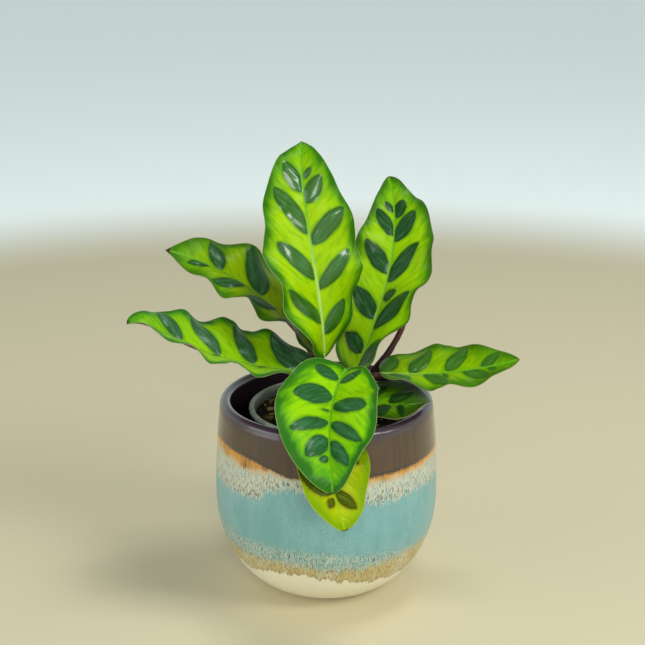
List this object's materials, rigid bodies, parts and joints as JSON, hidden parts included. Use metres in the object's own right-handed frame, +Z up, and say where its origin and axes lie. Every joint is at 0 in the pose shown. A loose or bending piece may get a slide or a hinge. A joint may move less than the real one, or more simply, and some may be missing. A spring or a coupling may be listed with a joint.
{
  "type": "potted calathea",
  "caption": "Small leafy house plant with waved, blotched leaves in soil, held by a plastic nursery pot inside a round-bellied glazed outer pot.",
  "frame": {"origin": "centre of the glazed pot's flat base, on the surface it stands on", "axes": "+Z up along the pot's axis; +X to the right and -Y towards the viewer of the picture"},
  "size_m": [0.1996, 0.1813, 0.2299],
  "materials": {
    "glaze": "gloss",
    "nursery_plastic": "satin",
    "potting_soil": "matte",
    "leaf_green": "satin",
    "leaf_yellow_green": "satin"
  },
  "bodies": {
    "root": {"glazed_pot": "glaze", "nursery_pot": "nursery_plastic", "soil": "potting_soil", "leaf_centre": "leaf_green", "leaf_right_tall": "leaf_green", "leaf_left_upper": "leaf_green", "leaf_left_lower": "leaf_green", "leaf_right": "leaf_green", "leaf_front": "leaf_green", "leaf_front_low": "leaf_yellow_green", "leaf_in_pot": "leaf_green", "leaf_back": "leaf_green"}
  },
  "joints": []
}
